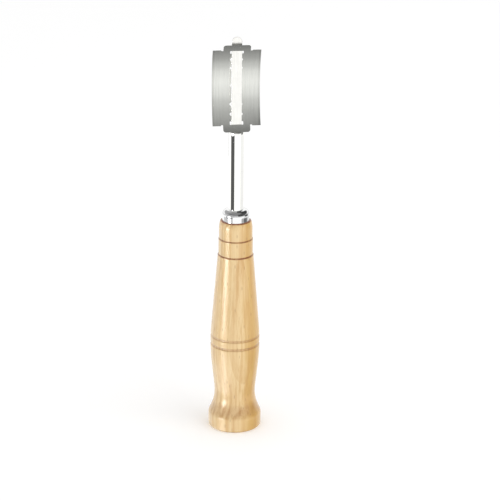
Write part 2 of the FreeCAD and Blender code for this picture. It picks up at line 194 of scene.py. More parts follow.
class LameFinish(bpy.types.PropertyGroup):
    """Colours of the wood and the metals."""
    # Painted sheen: this paler colour on the left side stands in for light that the lacquer
    # mirrors there.
    sapwood: colour("Palest wood, on the left side", (233, 201, 141))
    honey: colour("Golden wood, on the right side", (214, 170, 82))
    late_wood: colour("Darker wood of the rings and streaks", (204, 152, 72))
    fleck: colour("Small dark flecks", (160, 104, 44))
    # Besides the burned fine lines, this colour is laid on as painted shade in the coves, above
    # the foot and round the collar's seat.
    scorch: colour("Stain that the hot tool leaves in the turned lines", (172, 106, 8))
    plating: colour("Bright plating of the collar", (240, 240, 242))
    bar_steel: colour("Polished steel of the bar", (252, 252, 250))
    strip_steel: colour("Spring steel of the strip", (254, 253, 250))
    blade_steel: colour("Rolled steel of the blade", (222, 223, 219))
    floor: colour("Pale floor", (254, 254, 254))


class LameStudio(bpy.types.PropertyGroup):
    """Where the camera stands, and how bright the room is."""
    aim_height: length("Height that the camera looks at", 87.96 * MM)
    distance: length("From the camera to the lame's axis", 1026.6 * MM)
    elevation: angle("How far the camera looks down", 20.5)
    turn: angle("How far the camera stands round to the left", 6.5)
    lean: angle("How far the lame leans to the right in the view", 0.4)
    lens: FloatProperty(description="Focal length", default=159.12, unit="CAMERA")
    shift: share("Room left beside the lame, as a share of the view", 0.0288)
    room: share("Brightness of the white room", 0.84, 10.0)
    key_light: share("Power of the large light at the right, in watts", 8.0, 1000.0)


# ---------------------------------------------------------------- wiring nodes

def connect(socket, value):
    """Links an input to an output, or sets it to a plain value."""
    if isinstance(value, bpy.types.NodeSocket):
        socket.id_data.links.new(value, socket)
    else:
        socket.default_value = value


def fill(node, **inputs):
    """Connects a node's inputs by name. Underscores stand for spaces."""
    for name, value in inputs.items():
        connect(node.inputs[name.replace("_", " ")], value)


def put(tree, kind, inputs=None, **settings):
    """Adds a node, sets its options, and connects its inputs."""
    node = tree.nodes.new(kind)
    for name, value in settings.items():
        setattr(node, name, value)
    for name, value in (inputs or {}).items():
        connect(node.inputs[name], value)
    return node


def tree_of(values):
    """The tree of the first socket among some values."""
    return next(value.id_data for value in values if isinstance(value, bpy.types.NodeSocket))


def maths(operation, *values, clamp=False):
    """One step of arithmetic with a socket in it; gives its result's socket."""
    return put(tree_of(values), "ShaderNodeMath", dict(enumerate(values)),
               operation=operation, use_clamp=clamp).outputs[0]


plus, minus, times, over = (
    partial(maths, operation) for operation in ("ADD", "SUBTRACT", "MULTIPLY", "DIVIDE"))


def vector_maths(operation, *values, result="Vector"):
    """One step of arithmetic on vectors; gives its result's socket."""
    return put(tree_of(values), "ShaderNodeVectorMath", dict(enumerate(values)),
               operation=operation).outputs[result]


def split(vector):
    """The three parts of a vector."""
    return put(vector.id_data, "ShaderNodeSeparateXYZ", {"Vector": vector}).outputs


def join(*parts):
    """A vector from its three parts."""
    return put(tree_of(parts), "ShaderNodeCombineXYZ", dict(enumerate(parts))).outputs[0]


def remap(value, low, high, to_low=0.0, to_high=1.0, smooth=True):
    """Carries a value from one range to another and stops at its ends."""
    node = put(value.id_data, "ShaderNodeMapRange",
               {"Value": value, "From Min": low, "From Max": high,
                "To Min": to_low, "To Max": to_high},
               interpolation_type="SMOOTHSTEP" if smooth else "LINEAR")
    return node.outputs["Result"]


def blend_colour(factor, first, second, mode="MIX"):
    """Lays a second colour over a first one by a factor."""
    node = put(factor.id_data, "ShaderNodeMix", data_type="RGBA", blend_type=mode)
    sockets = {socket.identifier: socket for socket in (*node.inputs, *node.outputs)}
    for name, value in (("Factor_Float", factor), ("A_Color", first), ("B_Color", second)):
        connect(sockets[name], value)
    return sockets["Result_Color"]


def darker(base, kept):
    """A colour that keeps a share of its light."""
    return [part * kept for part in base[:3]] + [1.0]


def new_group(name, kind, inputs, outputs):
    """An empty node group and its two ends. A socket is given by its kind or by a number."""
    tree = bpy.data.node_groups.new(name, kind)
    for in_out, sockets in (("INPUT", inputs), ("OUTPUT", outputs)):
        for socket_name, value in sockets.items():
            is_number = not isinstance(value, str)
            socket_kind = type(value).__name__.capitalize() if is_number else value
            socket = tree.interface.new_socket(
                socket_name, in_out=in_out, socket_type="NodeSocket" + socket_kind)
            if is_number:
                socket.default_value = value
    return tree, put(tree, "NodeGroupInput").outputs, put(tree, "NodeGroupOutput").inputs


def use(group, **inputs):
    """Places a shader group and connects its inputs; gives its outputs."""
    node = put(tree_of(inputs.values()), "ShaderNodeGroup", node_tree=group)
    fill(node, **inputs)
    return node.outputs


def shared(name, build):
    """A shader group that is built once and used by several materials."""
    return bpy.data.node_groups.get(name) or build(name)


# ---------------------------------------------------------------- shared shader groups

def stretched_noise(given, place, **settings):
    """Noise that is drawn out along the height by a group's Across and Along."""
    stretch = join(given["Across"], given["Across"], given["Along"])
    stretched = vector_maths("MULTIPLY", place, stretch)
    return put(place.id_data, "ShaderNodeTexNoise",
               {"Vector": stretched, "Scale": 1.0, **settings}).outputs["Fac"]


def build_fibres(name):
    """Long thin streaks along the height, for wood fibres and for drawn or ground metal."""
    tree, given, result = new_group(
        name, "ShaderNodeTree",
        {"Place": "Vector", "Across": 1.0, "Along": 0.05, "Detail": 3.0}, {"Streaks": "Float"})
    connect(result["Streaks"],
            stretched_noise(given, given["Place"], Detail=given["Detail"], Roughness=0.6))
    return tree


def build_smudges(name):
    """Soft cloudy patches left by handling, and specks of dust."""
    tree, given, result = new_group(
        name, "ShaderNodeTree", {"Place": "Vector", "Size": 8.0},
        {"Smudges": "Float", "Dust": "Float"})
    cloud = put(tree, "ShaderNodeTexNoise",
                {"Vector": given["Place"], "Scale": over(1.0, given["Size"]),
                 "Detail": 4.0, "Roughness": 0.55, "Distortion": 0.4})
    connect(result["Smudges"], remap(cloud.outputs["Fac"], 0.42, 0.68))
    specks = put(tree, "ShaderNodeTexVoronoi",
                 {"Vector": given["Place"], "Scale": 0.9, "Randomness": 1.0})
    connect(result["Dust"], remap(specks.outputs["Distance"], 0.09, 0.03))
    return tree


def build_hairlines(name):
    """Very fine scratches in two directions, for polished metal."""
    tree, given, result = new_group(
        name, "ShaderNodeTree", {"Place": "Vector", "Across": 9.0, "Along": 0.25},
        {"Scratches": "Float"})
    lines = []
    for tilt in (0.5, -0.9):
        turned = put(tree, "ShaderNodeVectorRotate",
                     {"Vector": given["Place"], "Axis": (0.3, 1.0, 0.2), "Angle": tilt})
        noise = stretched_noise(given, turned.outputs[0], Detail=1.0)
        lines.append(remap(noise, 0.66, 0.78))
    connect(result["Scratches"], maths("MAXIMUM", *lines))
    return tree


def build_turned_line(name):
    """A soft band at one height all round a piece, for the lines a lathe tool leaves and for
    bands of painted shade.
    """
    tree, given, result = new_group(
        name, "ShaderNodeTree", {"Place": "Vector", "Height": 0.0, "Reach": 0.5, "Core": 0.2},
        {"Band": "Float"})
    away = maths("ABSOLUTE", minus(split(given["Place"])["Z"], given["Height"]))
    connect(result["Band"], remap(away, given["Reach"], given["Core"]))
    return tree


def build_growth_rings(name):
    """The rings of the tree in a piece of wood, cut to one side of the pith."""
    tree, given, result = new_group(
        name, "ShaderNodeTree", {"Place": "Vector", "Spacing": 2.4, "Waviness": 3.0},
        {"Rings": "Float"})
    slow = vector_maths("MULTIPLY", given["Place"], (0.055, 0.055, 0.016))
    wander = put(tree, "ShaderNodeTexNoise",
                 {"Vector": slow, "Scale": 1.0, "Detail": 2.0, "Roughness": 0.45})
    # The pith stands outside the piece, and leans against its axis.
    from_pith = split(vector_maths("ADD", given["Place"], (-14.0, 44.0, 0.0)))
    flat = join(plus(from_pith["X"], times(from_pith["Z"], 0.07)), from_pith["Y"], 0.0)
    reach = vector_maths("LENGTH", flat, result="Value")
    offset = times(minus(wander.outputs["Fac"], 0.5), given["Waviness"])
    ring = maths("FRACT", over(plus(reach, offset), given["Spacing"]))
    connect(result["Rings"], times(remap(ring, 0.15, 0.9), remap(ring, 1.0, 0.92)))
    return tree


# ---------------------------------------------------------------- materials

def in_millimetres(place):
    """A place in metres as one in millimetres."""
    return vector_maths("MULTIPLY", place, (1 / MM, 1 / MM, 1 / MM))


def new_material(name, **constants):
    """A material, its Principled shader, and the place on the piece in millimetres."""
    material = bpy.data.materials.new(name)
    material.use_nodes = True
    shader = material.node_tree.nodes["Principled BSDF"]
    fill(shader, **constants)
    place = put(material.node_tree, "ShaderNodeTexCoord").outputs["Object"]
    return material, shader, in_millimetres(place)


def bump(shader, height, strength, distance):
    """Raises the surface a little by a height that changes over it."""
    node = put(shader.id_data, "ShaderNodeBump",
               {"Height": height, "Strength": strength, "Distance": distance})
    fill(shader, Normal=node.outputs["Normal"])


def lacquered_wood(sizes, finish):
    """Golden wood under a satin lacquer with painted sheen on its pale left side, burned dark in
    the fine lines, and painted shade in the coves, above the foot and round the collar.
    """
    material, shader, place = new_material(
        "lacquered_wood", IOR=1.5, Specular_IOR_Level=1.0, Coat_IOR=1.7, Coat_Roughness=0.26)
    rings = use(shared("Growth rings", build_growth_rings), Place=place)["Rings"]
    fibres = shared("Fibres", build_fibres)
    broad = use(fibres, Place=place, Across=0.7, Along=0.02, Detail=3.0)["Streaks"]
    fine = use(fibres, Place=place, Across=3.2, Along=0.09, Detail=4.0)["Streaks"]
    marks = use(shared("Smudges", build_smudges), Place=place, Size=9.0)

    # Painted sheen: pale on the left, where the lacquer would mirror the light, and golden on
    # the right, with an edge between them that wanders.
    wander = times(minus(broad, 0.5), 8.0)
    side = remap(plus(split(place)["X"], wander), 0.5, 6.5)
    tone = plus(times(rings, 0.3), remap(broad, 0.4, 0.74, 0.0, 0.6))
    wood = blend_colour(side, finish.sapwood, finish.honey)
    wood = blend_colour(tone, wood, finish.late_wood)
    wood = blend_colour(remap(fine, 0.45, 0.75, 0.0, 0.35), wood, finish.late_wood)

    # Short dark dashes along the grain; only the chosen ones show.
    dashes = put(material.node_tree, "ShaderNodeTexVoronoi",
                 {"Vector": vector_maths("MULTIPLY", place, (1.0, 1.0, 0.22)),
                  "Scale": 0.9, "Randomness": 1.0})
    chosen = remap(split(dashes.outputs["Color"])["X"], 0.5, 0.8)
    flecks = times(remap(dashes.outputs["Distance"], 0.28, 0.1, 0.0, 0.45), chosen)
    wood = blend_colour(flecks, wood, finish.fleck)

    # Each band: its height, how far the darkening reaches, its core and its depth. The two fine
    # lines are burned by the tool; the coves and the band above the foot are painted shade; the
    # rim round the collar is darker end grain with painted shade.
    burn_and_shade = 0.0
    for height, reach, core, depth in (
            (sizes.upper_line, 0.5, 0.15, 0.8),
            (sizes.lower_line, 0.55, 0.15, 0.95),
            (sizes.upper_cove, 0.95, 0.25, 0.38),
            (sizes.lower_cove, 0.95, 0.25, 0.42),
            (sizes.foot_band, 4.2, 0.8, 0.3),
            (sizes.height, 0.42, 0.15, 1.0)):
        line = use(shared("Turned line", build_turned_line), Place=place,
                   Height=height / MM, Reach=reach, Core=core)["Band"]
        burn_and_shade = plus(burn_and_shade, times(line, depth))
    uneven = times(burn_and_shade, remap(broad, 0.3, 0.6, 0.7, 1.0), clamp=True)
    wood = blend_colour(uneven, wood, finish.scorch, mode="MULTIPLY")

    fill(shader, Base_Color=wood,
         Roughness=plus(remap(marks["Smudges"], 0, 1, 0.42, 0.5), times(burn_and_shade, 0.2)),
         Coat_Weight=remap(marks["Dust"], 0, 1, 0.95, 0.6))
    bump(shader, plus(fine, times(flecks, -1.0)), 0.12, 0.05 * MM)
    return material


def polished_metal(name, base, roughness, smudged, scratched):
    """Bright metal with a few hairlines and the soft marks of handling."""
    material, shader, place = new_material(name, Metallic=1.0)
    marks = use(shared("Smudges", build_smudges), Place=place, Size=4.0)
    lines = use(shared("Hairlines", build_hairlines), Place=place)["Scratches"]
    worn = plus(remap(marks["Smudges"], 0, 1, roughness, smudged), times(lines, scratched))
    fill(shader,
         Base_Color=blend_colour(times(marks["Smudges"], 0.12), base, darker(base, 0.8)),
         Roughness=plus(worn, times(marks["Dust"], 0.1)))
    bump(shader, lines, 0.05, 0.005 * MM)
    return material


def strip_steel(finish):
    """Drawn spring steel: fine lines along its length."""
    material, shader, place = new_material("strip_steel", Metallic=1.0)
    drawn = use(shared("Fibres", build_fibres), Place=place,
                Across=7.0, Along=0.12, Detail=2.0)["Streaks"]
    marks = use(shared("Smudges", build_smudges), Place=place, Size=3.0)
    base = finish.strip_steel
    fill(shader,
         Base_Color=blend_colour(remap(drawn, 0.35, 0.7, 0.0, 0.4), base, darker(base, 0.85)),
         Roughness=plus(remap(drawn, 0.3, 0.7, 0.24, 0.34), times(marks["Smudges"], 0.06)))
    bump(shader, drawn, 0.15, 0.01 * MM)
    return material


def blade_steel(blade, finish):
    """Rolled blade steel, satin on its flats, with two ground steps to each honed edge."""
    material, shader, _ = new_material("blade_steel", Metallic=1.0)
    flat = in_millimetres(put(material.node_tree, "ShaderNodeAttribute",
                              attribute_name="flat_place").outputs["Vector"])
    across = split(flat)
    turned = join(across["Z"], across["Y"], across["X"])
    fibres = shared("Fibres", build_fibres)
    rolled = use(fibres, Place=flat, Across=5.0, Along=0.08, Detail=3.0)["Streaks"]
    hone_lines = use(fibres, Place=turned, Across=9.0, Along=0.5, Detail=2.0)["Streaks"]
    marks = use(shared("Smudges", build_smudges), Place=flat, Size=5.0)

    # The first step starts at the bevel and the second close to the edge, in millimetres.
    away = maths("ABSOLUTE", across["X"])
    edge = blade.width / 2 / MM
    bevel = edge - blade.bevel / MM
    ground = remap(away, bevel - 0.05, bevel + 0.05)
    honed = remap(away, edge - 0.38, edge - 0.3)
    tone = plus(remap(rolled, 0.35, 0.7, 0.0, 0.25), times(ground, 0.45))
    satin = plus(remap(rolled, 0.3, 0.7, 0.13, 0.19), times(marks["Smudges"], 0.03))
    base = finish.blade_steel
    fill(shader, Base_Color=blend_colour(tone, base, darker(base, 0.72)),
         Roughness=plus(satin, times(honed, -0.06)))
    bump(shader, plus(times(rolled, 0.5), times(hone_lines, ground)), 0.12, 0.006 * MM)
    return material


# ---------------------------------------------------------------- node trees for shapes

def turning_tree():
    """Turns an outline round the height: its points give the radius and the height."""
    tree, given, result = new_group(
        "Turning", "GeometryNodeTree",
        {"Outline": "Geometry", "Around": 64, "Finish": "Material"}, {"Piece": "Geometry"})
    points = put(tree, "GeometryNodeAttributeDomainSize",
                 {"Geometry": given["Outline"]}).outputs["Point Count"]
    here = put(tree, "GeometryNodeInputPosition").outputs[0]
    around = given["Around"]
    grid = put(tree, "GeometryNodeMeshGrid",
               {"Size X": 1.0, "Size Y": 1.0,
                "Vertices X": plus(around, 1), "Vertices Y": points})
    spot = split(here)
    column = maths("ROUND", times(plus(spot["X"], 0.5), around))
    row = maths("ROUND", times(plus(spot["Y"], 0.5), minus(points, 1)))
    sample = put(tree, "GeometryNodeSampleIndex",
                 {"Geometry": given["Outline"], "Value": here, "Index": row},
                 data_type="FLOAT_VECTOR", domain="POINT")
    section = split(sample.outputs["Value"])
    turn = times(over(maths("MODULO", column, around), around), FULL_TURN)
    turned = join(times(section["X"], maths("COSINE", turn)),
                  times(section["X"], maths("SINE", turn)), section["Z"])
    placed = put(tree, "GeometryNodeSetPosition",
                 {"Geometry": grid.outputs["Mesh"], "Position": turned})
    closed = put(tree, "GeometryNodeMergeByDistance",
                 {"Geometry": placed.outputs[0], "Distance": MERGE_DISTANCE})
    return end_tree(tree, closed.outputs[0], given["Finish"], result["Piece"])


def bowing_tree():
    """Bends a flat sheet about a level axis, and keeps where each point was when flat."""
    tree, given, result = new_group(
        "Bowing", "GeometryNodeTree",
        {"Sheet": "Geometry", "Radius": 0.0, "Depth": 0.0, "Height": 0.0,
         "Finish": "Material"}, {"Piece": "Geometry"})
    here = put(tree, "GeometryNodeInputPosition").outputs[0]
    kept = put(tree, "GeometryNodeStoreNamedAttribute",
               {"Geometry": given["Sheet"], "Name": "flat_place", "Value": here},
               data_type="FLOAT_VECTOR", domain="POINT")
    flat = split(here)
    bend = over(flat["Z"], given["Radius"])
    reach = plus(given["Radius"], flat["Y"])
    bent = join(flat["X"],
                plus(given["Depth"], times(reach, maths("COSINE", bend))),
                plus(given["Height"], times(reach, maths("SINE", bend))))
    placed = put(tree, "GeometryNodeSetPosition",
                 {"Geometry": kept.outputs[0], "Position": bent})
    return end_tree(tree, placed.outputs[0], given["Finish"], result["Piece"])


def end_tree(tree, shape, finish, result):
    """Ends a tree with plain geometry in its own finish."""
    real = put(tree, "GeometryNodeRealizeInstances", {"Geometry": shape})
    dressed = put(tree, "GeometryNodeSetMaterial",
                  {"Geometry": real.outputs[0], "Material": finish})
    connect(result, dressed.outputs[0])
    return tree


# ---------------------------------------------------------------- finishing a piece

def place_object(name, data):
    """A new object in the scene."""
    item = bpy.data.objects.new(name, data)
    bpy.context.scene.collection.objects.link(item)
    return item


def end_mesh(shape, name):
    """Ends a shape that was built face by face, as a mesh."""
    mesh = bpy.data.meshes.new(name)
    shape.to_mesh(mesh)
    shape.free()
    return mesh


def bake(name, mesh, tree, **inputs):
    """Runs a mesh through a tree and keeps the plain mesh that comes out."""
    piece = place_object(name, mesh)
    modifier = piece.modifiers.new("Shape", "NODES")
    modifier.node_group = tree
    for socket in tree.interface.items_tree:
        if socket.item_type == "SOCKET" and socket.name in inputs:
            modifier[socket.identifier] = inputs[socket.name]
    depsgraph = bpy.context.evaluated_depsgraph_get()
    plain = bpy.data.meshes.new_from_object(piece.evaluated_get(depsgraph))
    piece.modifiers.remove(modifier)
    piece.data = plain
    plain.name = name
    return piece


def finish_piece(piece, body, node):
    """Smooths a piece, checks it, and puts it on its body in place of its CAD node."""
    mesh = piece.data
    mesh.shade_smooth()
    mesh.set_sharp_from_angle(angle=SHARP_ANGLE)
    check = bmesh.new()
    check.from_mesh(mesh)
    open_edges = sum(1 for edge in check.edges if not edge.is_manifold)
    volume = check.calc_volume(signed=True)
    check.free()
    if open_edges or volume <= 0:
        raise RuntimeError(f"{piece.name}: {open_edges} open edges, volume {volume}")
    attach(piece, body)
    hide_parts(node)


# ---------------------------------------------------------------- outlines for turning

class Outline:
    """Half of a turned section, drawn as a line of points: radius and height."""

    def __init__(self, radius, height):
        self.points = [Vector((radius, height))]

    def line(self, end, step=LONG_STEP):
        """Draws straight on to the end."""
        start, end = self.points[-1], Vector(end)
        steps = max(1, math.ceil((end - start).length / step)) if step else 1
        self.points += [start.lerp(end, i / steps) for i in range(1, steps + 1)]

    def arc(self, centre, end, inward=False):
        """Draws round a centre to the end, on the side that faces the axis or away from it."""
        centre, start, end = Vector(centre), self.points[-1], Vector(end)
        radius = (start - centre).length
        first = math.atan2(start.y - centre.y, start.x - centre.x)
        last = math.atan2(end.y - centre.y, end.x - centre.x)
        sweep = (last - first) % FULL_TURN
        if (math.cos(first + sweep / 2) < 0) != inward:
            sweep -= FULL_TURN
        steps = max(2, math.ceil(abs(sweep) / min(SMALL_TURN, LONG_STEP / radius)))
        for i in range(1, steps + 1):
            angle = first + sweep * i / steps
            self.points.append(centre + radius * Vector((math.cos(angle), math.sin(angle))))
        self.points[-1] = end

    def ease(self, radius, least=math.radians(20), reach=0.45):
        """Breaks each sharp corner, using no more than a part of the lines beside it."""
        eased = [self.points[0]]
        for before, here, after in zip(self.points, self.points[1:], self.points[2:]):
            turn = (here - before).angle(after - here)
            if turn < least:
                eased.append(here)
                continue
            back = min(radius * math.tan(turn / 2), reach * (here - before).length,
                       reach * (after - here).length)
            start = here + (before - here).normalized() * back
            end = here + (after - here).normalized() * back
            eased += [start.lerp(here, t).lerp(here.lerp(end, t), t)
                      for t in (0, 1 / 3, 2 / 3, 1)]
        self.points = eased + [self.points[-1]]

    def mesh(self, name):
        """The line of points as a mesh, with the radius along X and the height along Z."""
        mesh = bpy.data.meshes.new(name)
        mesh.from_pydata([(p.x, 0.0, p.y) for p in self.points],
                         [(i, i + 1) for i in range(len(self.points) - 1)], [])
        return mesh


def along(angle):
    """The unit step in a direction of the section."""
    return Vector((math.cos(angle), math.sin(angle)))


def circles_meet(centre, radius, other, other_radius):
    """Where two circles cross, the lower point first."""
    between = other - centre
    near = (radius ** 2 - other_radius ** 2 + between.length_squared) / (2 * between.length)
    aside = math.sqrt(radius ** 2 - near ** 2)
    middle = centre + between.normalized() * near
    across = Vector((-between.y, between.x)).normalized() * aside
    return sorted((middle - across, middle + across), key=lambda point: point.y)


def line_meets(start, end, centre, radius):
    """Where a straight line crosses a circle, the lower point first."""
    way = (end - start).normalized()
    near = start + way * (centre - start).dot(way)
    aside = math.sqrt(radius ** 2 - (centre - near).length_squared)
    return sorted((near - way * aside, near + way * aside), key=lambda point: point.y)


def handle_outline(size, metal):
    """The handle's section, from the middle of the foot to the bottom of the bore."""
    reach = size.foot_shoulder + size.waist_sweep
    waist = Vector((size.waist_radius + size.waist_sweep, size.waist_height))
    foot = Vector((size.foot_radius - size.foot_shoulder, 0))
    foot.y = waist.y - math.sqrt(reach ** 2 - (waist.x - foot.x) ** 2)
    belly = Vector((size.belly_radius - size.belly_sweep, size.belly_height))

    outline = Outline(0, 0)
    inner = size.foot_radius - size.foot_rounding
    outline.line((inner, 0), step=None)
    outline.arc((inner, size.foot_rounding), (size.foot_radius, size.foot_rounding))
    outline.line((size.foot_radius, foot.y))
    outline.arc(foot, foot.lerp(waist, size.foot_shoulder / reach))
    apart = waist - belly
    heading = along(math.atan2(apart.y, apart.x)
                    + math.acos((size.waist_sweep + size.belly_sweep) / apart.length))
    outline.arc(waist, waist - heading * size.waist_sweep, inward=True)
    outline.line(belly + heading * size.belly_sweep)

    for height in (size.lower_cove, size.upper_cove):
        cove = Vector((size.belly_radius + size.cove_offset, height))
        low, high = circles_meet(belly, size.belly_sweep, cove, size.cove_radius)
        outline.arc(belly, low)
        outline.arc(cove, high, inward=True)
    step_foot = Vector((size.neck_base_radius, size.lower_line))
    to_step = step_foot - belly
    leave = belly + size.belly_sweep * along(
        math.atan2(to_step.y, to_step.x) - math.acos(size.belly_sweep / to_step.length))
    outline.arc(belly, leave)

    low_side, low_line = leave, step_foot
    for below, above, height, top in (
            (size.neck_base_radius, size.neck_radius, size.lower_line, size.upper_line),
            (size.neck_radius, size.mouth_radius, size.upper_line, size.mouth_height)):
        cut = Vector(((below + above) / 2, height))
        outline.line(line_meets(low_side, low_line, cut, size.line_radius)[0])
        low_side, low_line = Vector((above, height)), Vector((above, top))
        outline.arc(cut, line_meets(low_side, low_line, cut, size.line_radius)[1], inward=True)
    outline.line((size.mouth_radius, size.mouth_height))

    mouth = Vector((size.mouth_radius - size.mouth_sweep, size.mouth_height))
    rim_drop = size.height - size.mouth_rounding - size.mouth_height
    rim = mouth + Vector((math.sqrt(
        (size.mouth_sweep - size.mouth_rounding) ** 2 - rim_drop ** 2), rim_drop))
    outline.arc(mouth, mouth + (rim - mouth).normalized() * size.mouth_sweep)
    outline.arc(rim, (rim.x, size.height))
    bore = metal.bar_radius + size.bore_gap
    seat = metal.collar_radius + size.bore_gap
    outline.line((seat, size.height))
    outline.ease(BROKEN_EDGE)
    outline.line((seat, metal.collar_bottom), step=None)
    outline.line((bore, metal.collar_bottom), step=None)
    outline.line((bore, metal.bar_bottom), step=None)
    outline.line((0, metal.bar_bottom), step=None)
    return outline


def collar_outline(size):
    """The collar's section, a closed line round its wall."""
    bore = size.bar_radius
    outside = size.collar_radius
    widest = outside + size.collar_flare
    shoulder = Vector((widest - size.collar_rounding, size.collar_top - size.collar_rounding))
    outline = Outline(bore, size.collar_bottom)
    outline.line((outside - size.collar_lead, size.collar_bottom), step=None)
    outline.line((outside, size.collar_bottom + size.collar_lead), step=None)
    outline.line((widest, shoulder.y))
    outline.arc(shoulder, (shoulder.x, size.collar_top))
    outline.line((bore, size.collar_top))
    outline.line((bore, size.collar_bottom), step=None)
    return outline


# ---------------------------------------------------------------- the bar and the strip

def sweep_rings(shape, rings):
    """Joins rings of equally many points with walls; the rings run upwards."""
    for low, high in zip(rings, rings[1:]):
        for i in range(len(low)):
            j = (i + 1) % len(low)
            shape.faces.new((low[i], low[j], high[j], high[i]))


def bar_mesh(size):
    """The bar: a round body, and above it two half-round cheeks either side of the slot."""
    shape = bmesh.new()
    half_gap = size.strip_thickness / 2
    steps = size.around // 2
    body_rows, cheek_rows, rim_rows = 24, 8, 3

    def cheek(radius, height, way):
        """Points round the outside of one cheek, from one end of its flat to the other."""
        start = math.asin(half_gap / radius)
        angles = [start + (math.pi - 2 * start) * i / steps for i in range(steps + 1)]
        return [shape.verts.new((way * radius * math.cos(a), way * radius * math.sin(a), height))
                for a in angles]

    def whole(radius, height):
        """Points all round: a cheek, the middle of the slot, the other cheek, the middle."""
        ring = []
        for way in (1, -1):
            ring += cheek(radius, height, way)
            ring.append(shape.verts.new((-way * radius, 0, height)))
        return ring

    low_edge = size.bar_bottom + size.bar_chamfer
    high_edge = size.bar_top - size.bar_chamfer
    rise = size.strip_bottom - size.bar_bottom - size.bar_chamfer
    body = [whole(size.bar_radius - size.bar_chamfer, size.bar_bottom)]
    body += [whole(size.bar_radius, low_edge + rise * i / body_rows)
             for i in range(body_rows + 1)]
    shape.faces.new(reversed(body[0]))
    sweep_rings(shape, body)
    floor = body[-1]
    half = steps + 2
    shape.faces.new([floor[i] for i in (
        0, half - 2, half - 1, half, 2 * half - 2, 2 * half - 1)])
    for number, way in enumerate((1, -1)):
        rings = [floor[number * half:number * half + half - 1]]
        for i in range(1, cheek_rows + 1):
            height = size.strip_bottom + (high_edge - size.strip_bottom) * i / cheek_rows
            rings.append(cheek(size.bar_radius, height, way))
        for i in range(1, rim_rows + 1):
            turn = math.pi / 2 * i / rim_rows
            rings.append(cheek(size.bar_radius - size.bar_chamfer * (1 - math.cos(turn)),
                               size.bar_top - size.bar_chamfer * (1 - math.sin(turn)), way))
        sweep_rings(shape, rings)
        shape.faces.new(rings[-1])
    return end_mesh(shape, "bar")


def strip_mesh(size):
    """The strip: flat, with a full-round tip and lightly broken edges."""
    shape = bmesh.new()
    side_steps, tip_steps = 24, 40

    def ring(inset, depth):
        """The strip's outline at one depth."""
        half = size.strip_width / 2 - inset
        middle = size.strip_top - size.strip_width / 2
        low = size.strip_bottom + inset
        flat = [(half, low + (middle - low) * i / side_steps) for i in range(side_steps)]
        turns = [math.pi * i / tip_steps for i in range(tip_steps + 1)]
        tip = [(half * math.cos(turn), middle + half * math.sin(turn)) for turn in turns]
        other = [(-x, z) for x, z in reversed(flat)]
        return [shape.verts.new((x, depth, z)) for x, z in flat + tip + other]

    face = size.strip_thickness / 2
    rings = [ring(size.strip_edge, -face), ring(0, size.strip_edge - face),
             ring(0, face - size.strip_edge), ring(size.strip_edge, face)][::-1]
    sweep_rings(shape, rings)
    shape.faces.new(reversed(rings[0]))
    shape.faces.new(rings[-1])
    return end_mesh(shape, "strip")


# ---------------------------------------------------------------- the blade

def rounded(corners, steps=5):
    """A line through corners, each given as x, y and the radius of its rounding."""
    line = []
    for i, (x, y, radius) in enumerate(corners):
        here = Vector((x, y))
        if not radius:
            line.append(here)
            continue
        before = Vector(corners[i - 1][:2]) - here
        after = Vector(corners[(i + 1) % len(corners)][:2]) - here
        turn = before.angle(after)
        back = radius / math.tan(turn / 2)
        middle = here + (before.normalized() + after.normalized()).normalized() * (
            radius / math.sin(turn / 2))
        start = here + before.normalized() * back - middle
        end = here + after.normalized() * back - middle
        line += [middle + radius * start.slerp(end, step / steps).normalized()
                 for step in range(steps + 1)]
    return line


def mirror_quarter(quarter):
    """A closed outline from its quarter, which runs from the X axis to the Y axis."""
    other = [Vector((-p.x, p.y)) for p in reversed(quarter) if p.x > NOTHING]
    upper = quarter + other
    lower = [Vector((p.x, -p.y)) for p in reversed(upper) if p.y > NOTHING]
    return upper + lower


def blade_outline(size):
    """The blade's outside, flat: honed edges, notches and tabs."""
    half, tab = size.width / 2, size.tab_width / 2
    shoulder = size.shoulder / 2
    bottom = shoulder - size.relief_depth
    quarter = rounded([
        (half, 0, 0), (half, shoulder, 0),
        (tab + size.relief_width, shoulder, NOTCH_MOUTH),
        (tab + size.relief_width, bottom, NOTCH_FLOOR),
        (tab, bottom, NOTCH_FLOOR),
        (tab, size.length / 2, size.tab_rounding), (0, size.length / 2, 0)])
    return mirror_quarter(quarter)


def slot_outline(size, steps=12):
    """The slot: wide crossbars at its ends and pairs of round bites along it."""
    half = size.slot_width / 2
    quarter = []
    for span, place in ((size.middle_span, 0.0), (size.lobe_span, size.inner_lobe),
                        (size.lobe_span, size.outer_lobe)):
        centre = Vector((span / 2 - size.lobe_radius, place))
        first = math.acos((half - centre.x) / size.lobe_radius)
        for i in range(steps + 1):
            angle = first * (2 * i / steps - 1)
            point = centre + size.lobe_radius * along(angle)
            if point.y >= -NOTHING:
                quarter.append(Vector((point.x, max(0.0, point.y))))
    inner = size.slot_length / 2 - size.bar_height
    quarter += rounded([
        (*quarter[-1], 0), (half, inner, BROKEN_EDGE),
        (size.bar_width / 2, inner, size.bar_rounding),
        (size.bar_width / 2, size.slot_length / 2, size.bar_rounding),
        (0, size.slot_length / 2, 0)])[1:]
    return mirror_quarter(quarter)


